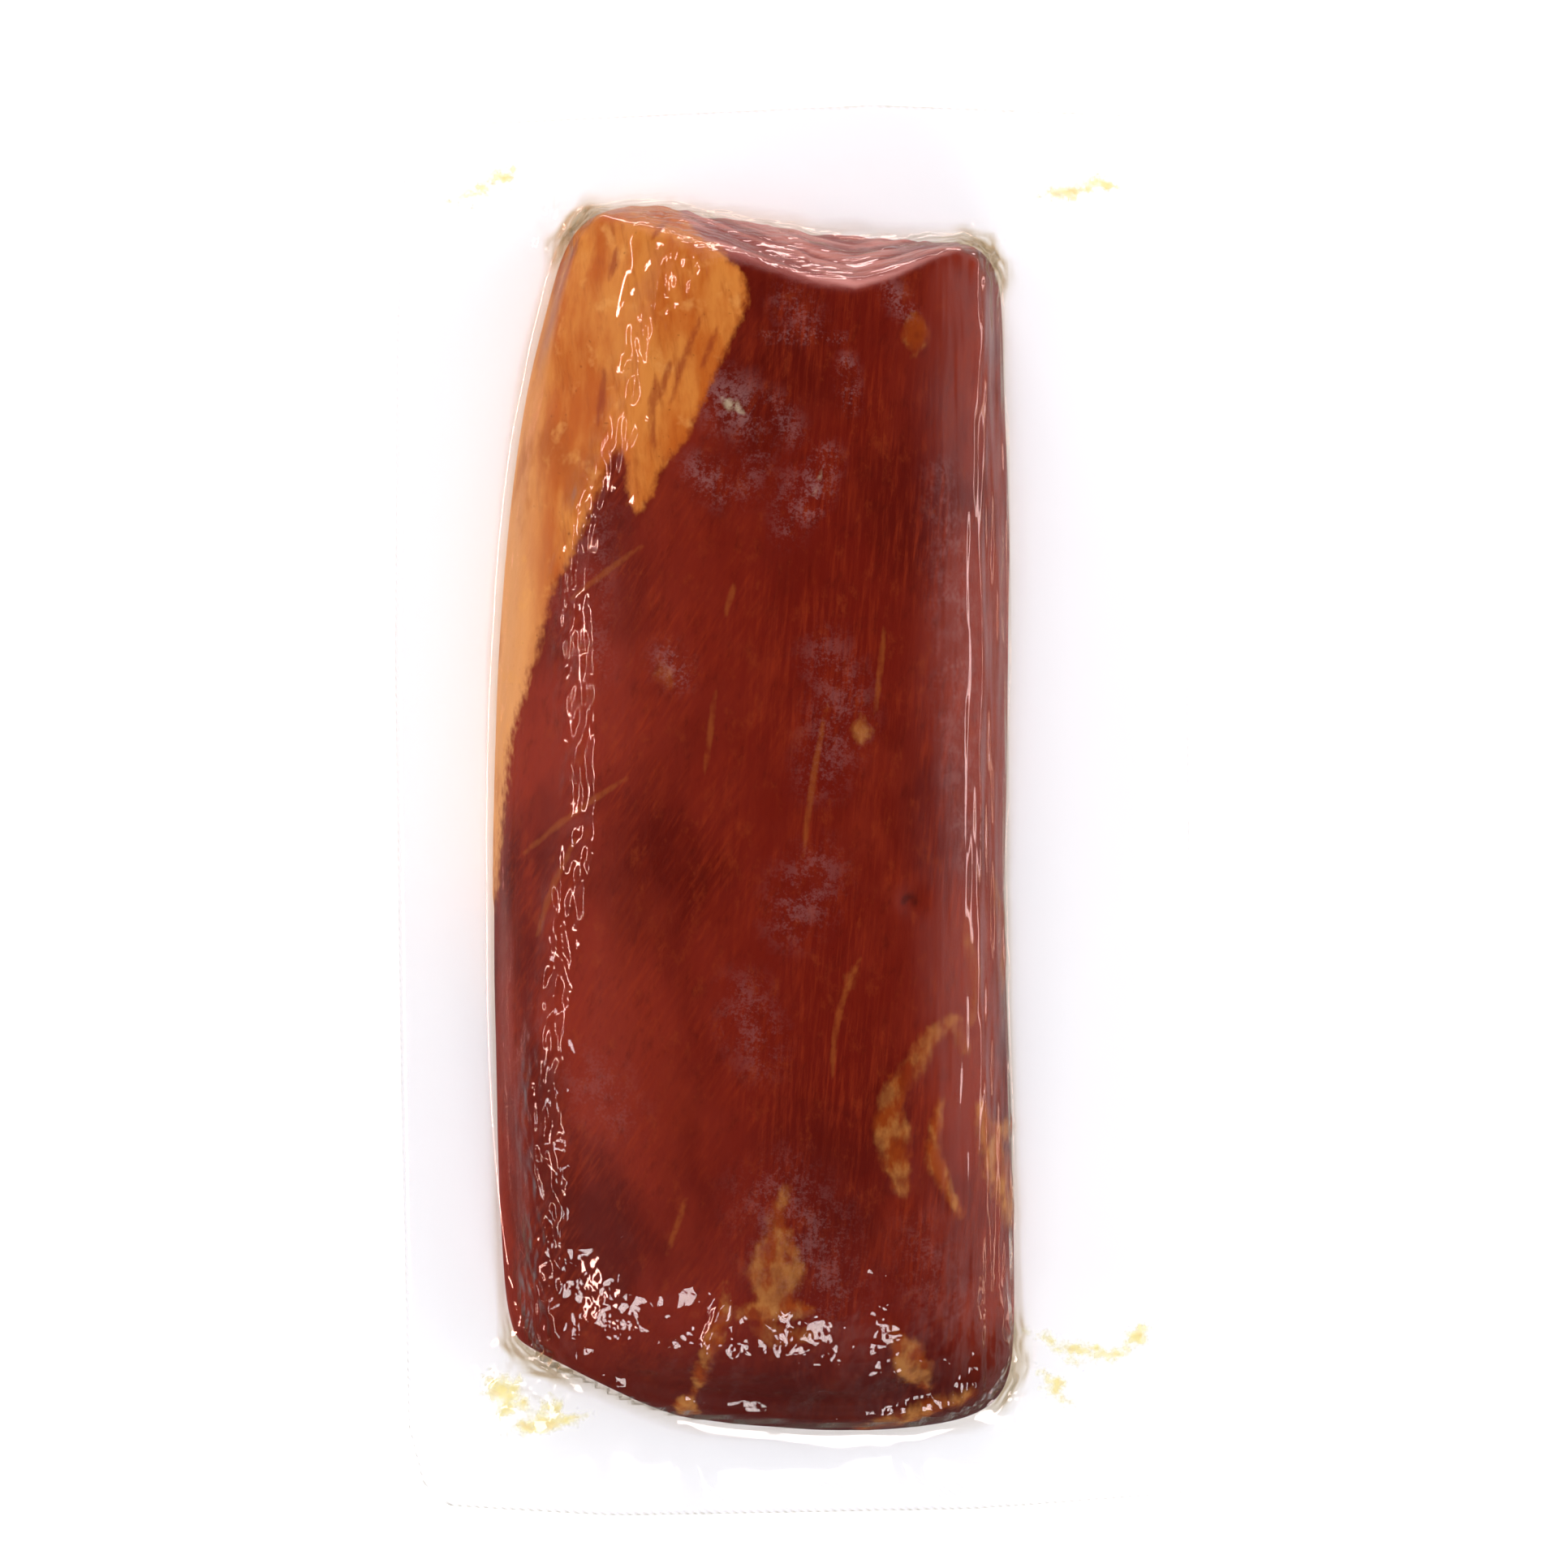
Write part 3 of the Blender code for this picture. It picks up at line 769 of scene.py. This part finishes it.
def finish_film(piece, side, node):
    """Turns the film's face outwards, gives it a thickness, and puts it in place of the frame's film."""
    select_only(piece)
    if side < 0:
        bpy.ops.object.mode_set(mode="EDIT")
        bpy.ops.mesh.select_all(action="SELECT")
        bpy.ops.mesh.flip_normals()
        bpy.ops.object.mode_set(mode="OBJECT")
    keep(piece, "seal", 1 - ease(SEAL_WIDTH, SEAL_WIDTH + 0.8, edge))
    for name, values in masks.items():
        keep(piece, name, values if side > 0 or name == "crumple" else np.zeros(len(values)))
    apply_modifier(piece, "SOLIDIFY", thickness=FILM * MM, offset=-1)
    bpy.ops.object.shade_smooth()
    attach(piece, "root")
    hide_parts(node)
    piece.visible_shadow = piece.visible_diffuse = False  # light passes a clear film unchanged
    print(piece.name, len(piece.data.polygons), "faces")


finish_film(upper, 1, "upper_film")
finish_film(lower, -1, "lower_film")

# %% [markdown]
# ## Juice in the corners
# The vacuum squeezes juice and soft fat into the corners, where it dries into thin yellow smears
# between the films. Each smear starts as a row of balls, which a voxel Remesh melts into one
# drop. Flattened onto the level between the films, it becomes a thin lobed puddle.

# %% Smears of juice
SMEARS = {  # for each corner, streaks as a path and its widest place in mm
    "juice_far_left": [
        ([(-76, 128), (-69, 129.6), (-62, 132)], 6.0),
        ([(-67, 131), (-63, 134), (-59, 135.5)], 6.5),
    ],
    "juice_far_right": [
        ([(46, 128.5), (53, 130), (60, 131), (67, 132.5)], 5.5),
        ([(58, 131), (62, 133.5), (67, 131)], 7.0),
    ],
    "juice_near_left": [
        ([(-68.5, -118.5), (-63, -122.5), (-57, -126)], 9.0),
        ([(-59, -118), (-62, -123.5), (-64, -130)], 8.0),
        ([(-64, -131), (-55, -129), (-44, -127)], 7.5),
        ([(-56, -123), (-50, -128)], 7.0),
    ],
    "juice_near_right": [
        ([(46, -108), (52, -112), (58, -113.5), (64, -115.5), (70, -112.5), (76, -107)], 6.5),
        ([(67, -114), (74, -108.5)], 7.5),
        ([(49, -116), (53, -122), (58, -126)], 7.0),
        ([(56, -112), (58, -118)], 5.0),
    ],
}
SMEAR_VOXEL = 0.4  # mm
SMEAR_HALF = 0.22  # mm, half of a smear's thickness


def balls_along(path, widest):
    """Balls in a row along a streak, largest in its middle and uneven in size."""
    line = rounded(path)
    steps = np.linspace(0, len(line) - 1, 9)
    places = np.column_stack([np.interp(steps, range(len(line)), line[:, k]) for k in (0, 1)])
    for i, (x, y) in enumerate(places):
        size = 0.45 + 0.55 * math.sin(math.pi * (i + 0.5) / len(places))
        yield x, y, widest / 2 * size * (1 + 0.35 * noise.noise(Vector((x, y, 0.5))))


def make_smear(name, streaks):
    parts = []
    for x, y, radius in [ball for streak in streaks for ball in balls_along(*streak)]:
        bpy.ops.object.select_all(action="DESELECT")
        bpy.ops.mesh.primitive_uv_sphere_add(segments=20, ring_count=12, radius=radius * MM,
                                             location=(x * MM, y * MM, 0))
        parts.append(bpy.context.object)
    for part in parts:
        part.select_set(True)
    bpy.ops.object.join()
    smear = bpy.context.object
    bpy.ops.object.transform_apply(location=True, rotation=True, scale=True)
    smear.name = smear.data.name = name + "_smear"
    apply_modifier(smear, "REMESH", mode="VOXEL", voxel_size=SMEAR_VOXEL * MM, use_smooth_shade=True)
    apply_modifier(smear, "SMOOTH", factor=0.6, iterations=6)
    points = read_points(smear)
    points[:, :2] += 0.5 * np.column_stack([lumps(points, 2.0, 61.0), lumps(points, 2.0, 62.0)])
    depth = points[:, 2] / np.abs(points[:, 2]).max()
    inside = np.max([stroke_depth(points, path, width, 0.3) for path, width in streaks], axis=0)
    keep(smear, "depth", inside)
    points[:, 2] = margin_level(points) + np.tanh(depth * 3) * SMEAR_HALF
    write_points(smear, points)
    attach(smear, "root")
    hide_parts(name)
    smear.visible_shadow = False
    print(smear.name, len(smear.data.polygons), "faces")
    return smear


smears = [make_smear(name, streaks) for name, streaks in SMEARS.items()]

# %% [markdown]
# ## Cured meat and smoked fat
# Curing salt turns the lean a deep brown red and smoke varnishes it, while the fat takes the
# smoke as amber. A painted image would do, but it blurs close up and has seams. Here
# the colour is built up in coats instead, as a painter glazes: each coat lays one colour over the
# last where a value rises through a span. The value is a place across the slab, a noise of a
# known size in mm, or one of the numbers that the points keep.

# %% Coats of colour
# These work on the material that is being built: its node tree, and mm, the place on its piece.
def in_mm(tree):
    """The place on a piece, in millimetres."""
    place = add(tree, "ShaderNodeTexCoord").outputs["Object"]
    return add(tree, "ShaderNodeVectorMath", {0: place, 3: 1 / MM}, operation="SCALE").outputs[0]


def pattern(size, stretch=(1, 1, 1), turn=0.0, detail=3.0, rough=0.55):
    """A noise of lumps about size mm across, stretched, and turned about Z in degrees."""
    turned = add(tree, "ShaderNodeMapping", {"Vector": mm, "Rotation": (0, 0, math.radians(turn))})
    scaled = add(tree, "ShaderNodeMapping", {"Vector": turned.outputs[0],
                                             "Scale": [1 / (size * share) for share in stretch]})
    return add(tree, "ShaderNodeTexNoise", {"Vector": scaled.outputs[0], "Scale": 1.0, "Detail": detail,
                                            "Roughness": rough}).outputs["Fac"]


def roughened(edge, reach, size, **settings):
    """An edge value made ragged: a noise of lumps about size mm across raises it by up to the reach."""
    push = pattern(size, **settings)
    return add(tree, "ShaderNodeMath", {0: push, 1: reach, 2: edge}, operation="MULTIPLY_ADD").outputs[0]


def coat(under, colour, value, span, most=1.0, only=1.0):
    """Lays a colour over what is under it, where the value rises through the span."""
    share = add(tree, "ShaderNodeMapRange", {"Value": value, "From Min": span[0], "From Max": span[1],
                                             "To Max": most}, interpolation_type="SMOOTHSTEP")
    share = add(tree, "ShaderNodeMath", {0: share.outputs[0], 1: only}, operation="MULTIPLY")
    over = srgb(colour) if isinstance(colour, str) else colour
    return add(tree, "ShaderNodeMix", {0: share.outputs[0], 6: under, 7: over}, data_type="RGBA").outputs[2]


# %% The lean
cured_meat, tree, out = new_material("cured_and_smoked_meat")
mm = in_mm(tree)
where = add(tree, "ShaderNodeSeparateXYZ", {0: mm})
kept = {name: add(tree, "ShaderNodeAttribute", attribute_name=name).outputs["Fac"]
        for name in ("fat", "seams", "shows", "hairs", "streaks", "bloom_and_glint", "cut", "fan", "dimple_shade")}

# Broad patches: redder on the left, browner on the right, darkest where the brine soaked deepest.
lean = coat(srgb("86291a"), "64140a", where.outputs["X"], (-62, 6))
lean = coat(lean, "7a2818", where.outputs["X"], (16, 40))
lean = coat(lean, "560f07", pattern(34, (1, 1.6, 1)), (0.42, 0.66))
lean = coat(lean, "802817", pattern(20, (1, 1.8, 1), detail=5), (0.5, 0.72), 0.5)

# Bundles of muscle fibre about 0.9 mm thick, which slant on the left and run lengthwise on the right.
rightward = add(tree, "ShaderNodeMapRange", {"Value": where.outputs["X"], "From Min": -30, "From Max": 5})
fibres = add(tree, "ShaderNodeMix", {0: rightward.outputs[0],
                                     2: pattern(0.9, (1, 9, 3), turn=32, detail=5, rough=0.65),
                                     3: pattern(0.9, (1, 12, 3), turn=5, detail=5, rough=0.65)}).outputs[0]
patchy = add(tree, "ShaderNodeMapRange", {"Value": pattern(12, (1, 1.8, 1)), "From Min": 0.35,
                                          "From Max": 0.65, "To Min": 0.1, "To Max": 0.55},
             interpolation_type="SMOOTHSTEP")
lean = coat(lean, "923015", fibres, (0.41, 0.735), only=patchy.outputs[0])
lean = coat(lean, "460c06", pattern(2.2, (1, 2.5, 1), turn=18, detail=8, rough=0.75), (0.5, 0.7), 0.4)
lean = coat(lean, "8e3818", pattern(4.0, (1, 1.6, 1), detail=9, rough=0.75), (0.52, 0.72), 0.4)

# The near end, where it falls away steeply, is darkened with painted shade, and the cut face has a painted
# pale pink sheen along the crests of its folds.
from_near_end = add(tree, "ShaderNodeMath", {0: where.outputs["Y"], 1: -1.0}, operation="MULTIPLY").outputs[0]
# Painted shade over the steep near end.
lean = coat(lean, "330806", from_near_end, (104, 122), 0.6)
# Painted shade in the dimples, whose hollows the film bridges over and hides.
lean = coat(lean, "3c100c", kept["dimple_shade"], (0.3, 1.1), 0.75)
# Painted sheen: the whole cut face is lightened to pale pink, most along the crests of its folds, where the
# film mirrors the bright room.
crest_sheen = roughened(kept["fan"], 0.6, 2.5, stretch=(3, 1, 1), detail=4)
cut_face_sheen = coat(srgb("8a3a32"), "c88078", crest_sheen, (0.55, 1.35))
lean = coat(lean, cut_face_sheen, kept["cut"], (0.0, 1.0), 0.9)
print("coats of the lean laid:", len(tree.nodes), "nodes so far")

# %% Bloom and hairline seams
# Dried brine leaves a pale lace of 0.8 mm specks, gathered in blotches a few mm across.
lace = roughened(pattern(0.8, detail=8, rough=0.8), 0.6, 4.5)
lean = coat(lean, "a07674", lace, (0.76, 0.92), 0.42, only=kept["bloom_and_glint"])
# Where the bloom is strongest it has dried to cream-coloured spots; on the first stroke these spots are a
# painted highlight.
spots = coat((0, 0, 0, 1), (1, 1, 1, 1), pattern(3, detail=5), (0.4, 0.6))
lean = coat(lean, "c0ae90", kept["bloom_and_glint"], (0.90, 1.0), 0.7, only=spots)
hair_edge = roughened(kept["hairs"], 0.7, 2.0, detail=2)
lean = coat(lean, "a05624", hair_edge, (-0.1, 0.6), 0.35)

# %% The fat
fat = coat(srgb("b4571c"), "cf7f38", pattern(8, (1, 3, 1), detail=6, rough=0.6), (0.35, 0.68))
fat = coat(fat, "98461a", pattern(1.6, (1, 7, 2), turn=-8, detail=6, rough=0.65), (0.5, 0.72), 0.5)
from_left = add(tree, "ShaderNodeMath", {0: where.outputs["X"], 1: -1.0}, operation="MULTIPLY").outputs[0]
fat = coat(fat, "dd9c64", from_left, (50, 62), 0.85)
fat = coat(fat, "a04e1a", pattern(13, (1, 1.6, 1), detail=5), (0.52, 0.70), 0.6)
fat = coat(fat, "e09a52", pattern(6, detail=5), (0.56, 0.72), 0.5)
creases = roughened(kept["streaks"], 1.4, 1.2, stretch=(1, 3, 1), detail=4)
fat = coat(fat, "8a3318", creases, (0.3, 1.3), 0.7)
fat = coat(fat, "5e2a10", pattern(1.0, detail=2), (0.70, 0.76), 0.5)

# Each border is ragged to a fraction of a millimetre, and soft, because the fat lies just
# under the surface.
seam_edge = roughened(kept["seams"], 2.6, 1.3, stretch=(1, 1.6, 1), detail=5)
cap_edge = roughened(kept["fat"], 3.0, 1.3, stretch=(1, 1.6, 1), detail=5)
seam_fat = coat(srgb("94400f"), "b8793c", pattern(4.0, (1, 2, 1), detail=5), (0.4, 0.62))
clarity = add(tree, "ShaderNodeMapRange", {"Value": pattern(3.2, (1, 1.5, 1), detail=5), "From Min": 0.32,
                                           "From Max": 0.6, "To Min": 0.40, "To Max": 0.88},
              interpolation_type="SMOOTHSTEP")
plain = add(tree, "ShaderNodeMath", {0: kept["shows"], 1: clarity.outputs[0]}, operation="MULTIPLY")
meat = coat(lean, seam_fat, seam_edge, (0.5, 2.6), only=plain.outputs[0])
meat = coat(meat, fat, cap_edge, (0.6, 2.6))

# %% Finish of the meat
fine = roughened(fibres, 0.6, 0.6, stretch=(1, 4, 1), detail=5)
relief_of_fibres = add(tree, "ShaderNodeBump", {"Height": fine, "Distance": 0.25 * MM, "Strength": 0.5})
moist = add(tree, "ShaderNodeMapRange", {"Value": pattern(6, detail=4), "From Min": 0.3, "From Max": 0.7,
                                         "To Min": 0.38, "To Max": 0.55})
# The film over it keeps most of the gloss, so the meat's own is turned well down.
shader = add(tree, "ShaderNodeBsdfPrincipled", {
    "Base Color": meat, "Roughness": moist.outputs[0], "IOR": 1.40, "Specular IOR Level": 0.04,
    "Normal": relief_of_fibres.outputs[0]})
tree.links.new(shader.outputs[0], out.inputs[0])
ham.data.materials.append(cured_meat)
print("meat material:", len(tree.nodes), "nodes")

# %% [markdown]
# ## Clear film
# Vacuum film is polyamide and polyethylene blown as a clear tube: it takes no colour and no
# grain, only gloss. A glass shader would bend light and darken the meat, and this film is
# too thin for that. So the material is only a choice between seeing through and mirroring, and the share
# mirrored rises towards the edge-on view by Schlick's rule. Only the outward face
# mirrors: the inner wall would double it. The finer waves are bump, because the mesh's
# millimetre cells would break them into facets.

# %% Film material
FILM_WAVES = [  # where the film is slack, then height, size, stretch and turn of the waves, in mm and degrees
    ("everywhere", 0.10, 7.0, (1, 1, 1), 0),
    ("chain", 1.60, 6.5, (1, 1.5, 1), 0),
    ("chain", 1.50, 2.1, (1, 1.9, 1), 0),
    ("right", 0.75, 2.4, (1, 10, 5), 0),
    ("right", 0.50, 1.3, (1, 12, 5), 0),
    ("near", 2.00, 9.0, (1, 1, 1), 0),
    ("near", 0.75, 3.4, (1, 1, 1), 0),
    ("near", 0.18, 1.4, (1, 1, 1), 0),
    ("fan", 0.35, 1.5, (9, 1, 1), -14),
    ("crumple", 1.80, 4.2, (1, 1, 1), 0),
]
SEAL_RIB = 0.06  # mm, how high the ribs of the heat seal are

clear_film, tree, out = new_material("blown_vacuum_film")
mm = in_mm(tree)
kept = {name: add(tree, "ShaderNodeAttribute", attribute_name=name).outputs["Fac"]
        for name in [*masks, "seal"]}
kept["everywhere"] = 1.0
ribs = add(tree, "ShaderNodeTexWave", {"Vector": mm, "Scale": 0.35}, bands_direction="DIAGONAL")
surface = add(tree, "ShaderNodeMath", {0: kept["seal"], 1: SEAL_RIB}, operation="MULTIPLY")
surface = add(tree, "ShaderNodeMath", {0: surface.outputs[0], 1: ribs.outputs["Fac"]}, operation="MULTIPLY")
for mask, height, size, stretch, turn in FILM_WAVES:
    reach = add(tree, "ShaderNodeMath", {0: kept[mask], 1: height}, operation="MULTIPLY")
    surface = add(tree, "ShaderNodeMath", {0: pattern(size, stretch, turn, detail=0), 1: reach.outputs[0],
                                           2: surface.outputs[0]}, operation="MULTIPLY_ADD")
wavy = add(tree, "ShaderNodeBump", {"Height": surface.outputs[0], "Distance": MM, "Strength": 1.0}).outputs[0]
facing = add(tree, "ShaderNodeLayerWeight", {"Blend": 0.5, "Normal": wavy}).outputs["Facing"]
print("film material:", len(tree.nodes), "nodes for its waves")

# %% See through or mirror
MIRROR_HEAD_ON, MIRROR_RISE = 0.025, 0.60  # the share mirrored head-on, and how much more edge-on
steep = add(tree, "ShaderNodeMath", {0: facing, 1: 5.0}, operation="POWER")
mirrored = add(tree, "ShaderNodeMath", {0: steep.outputs[0], 1: MIRROR_RISE, 2: MIRROR_HEAD_ON},
               operation="MULTIPLY_ADD")
inner_wall = add(tree, "ShaderNodeNewGeometry").outputs["Backfacing"]
shadow_ray = add(tree, "ShaderNodeLightPath").outputs["Is Shadow Ray"]
skipped = add(tree, "ShaderNodeMath", {0: inner_wall, 1: shadow_ray}, operation="MAXIMUM")
counted = add(tree, "ShaderNodeMath", {0: 1.0, 1: skipped.outputs[0]}, operation="SUBTRACT")
share = add(tree, "ShaderNodeMath", {0: mirrored.outputs[0], 1: counted.outputs[0]}, operation="MULTIPLY")
# Seen edge-on, and in the crumpled corners, the eye looks through more film, which greys a little.
slanting = add(tree, "ShaderNodeMath", {0: facing, 1: 3.0}, operation="POWER")
crumpled = add(tree, "ShaderNodeMath", {0: facing, 1: 1.3}, operation="POWER")
thick = add(tree, "ShaderNodeMath", {0: kept["crumple"], 1: crumpled.outputs[0], 2: slanting.outputs[0]},
            operation="MULTIPLY_ADD", use_clamp=True)
clear = add(tree, "ShaderNodeMix", {0: thick.outputs[0], 6: srgb("fdfdfe"), 7: srgb("e4dbcb")},
            data_type="RGBA")
through = add(tree, "ShaderNodeBsdfTransparent", {"Color": clear.outputs[2]})
gloss = add(tree, "ShaderNodeBsdfAnisotropic", {"Color": (1, 1, 1, 1), "Roughness": 0.06, "Normal": wavy})
both = add(tree, "ShaderNodeMixShader", {0: share.outputs[0], 1: through.outputs[0], 2: gloss.outputs[0]})
tree.links.new(both.outputs[0], out.inputs[0])
upper.data.materials.append(clear_film)
lower.data.materials.append(clear_film)

# %% [markdown]
# ## Juice
# The smears are a weak jelly: yellow where they are thick, nearly clear at the edge, and
# strung with a few browner threads. Each point knows how deep inside its streak it lies, so the
# jelly can fade out towards a ragged edge.

# %% Juice material
jelly, tree, out = new_material("dried_ham_juice")
mm = in_mm(tree)
depth = add(tree, "ShaderNodeAttribute", attribute_name="depth").outputs["Fac"]
thick = roughened(depth, 8.0, 2.6, detail=2)
EDGE = (4.7, 8.2)  # the values of thick at which the jelly starts to show and is at its thickest
cloud = add(tree, "ShaderNodeMapRange", {"Value": thick, "From Min": EDGE[0], "From Max": EDGE[1]},
            interpolation_type="SMOOTHSTEP").outputs[0]
tint = coat(srgb("fbf6c8"), "f1e38e", thick, EDGE)
tint = coat(tint, "dba860", pattern(1.1, (1, 5, 1), turn=-62, detail=4), (0.5, 0.66), 0.45, only=cloud)
DENSEST = 0.62  # how much of the thickest jelly is solid to the eye
body_share = add(tree, "ShaderNodeMath", {0: cloud, 1: DENSEST}, operation="MULTIPLY").outputs[0]
clear = add(tree, "ShaderNodeBsdfTransparent", {"Color": (1, 1, 1, 1)})
body = add(tree, "ShaderNodeBsdfPrincipled", {"Base Color": tint, "Roughness": 0.3})
both = add(tree, "ShaderNodeMixShader", {0: body_share, 1: clear.outputs[0], 2: body.outputs[0]})
tree.links.new(both.outputs[0], out.inputs[0])
for smear in smears:
    smear.data.materials.append(jelly)

# %% [markdown]
# ## Finish

# %% Finish
bpy.context.view_layer.update()
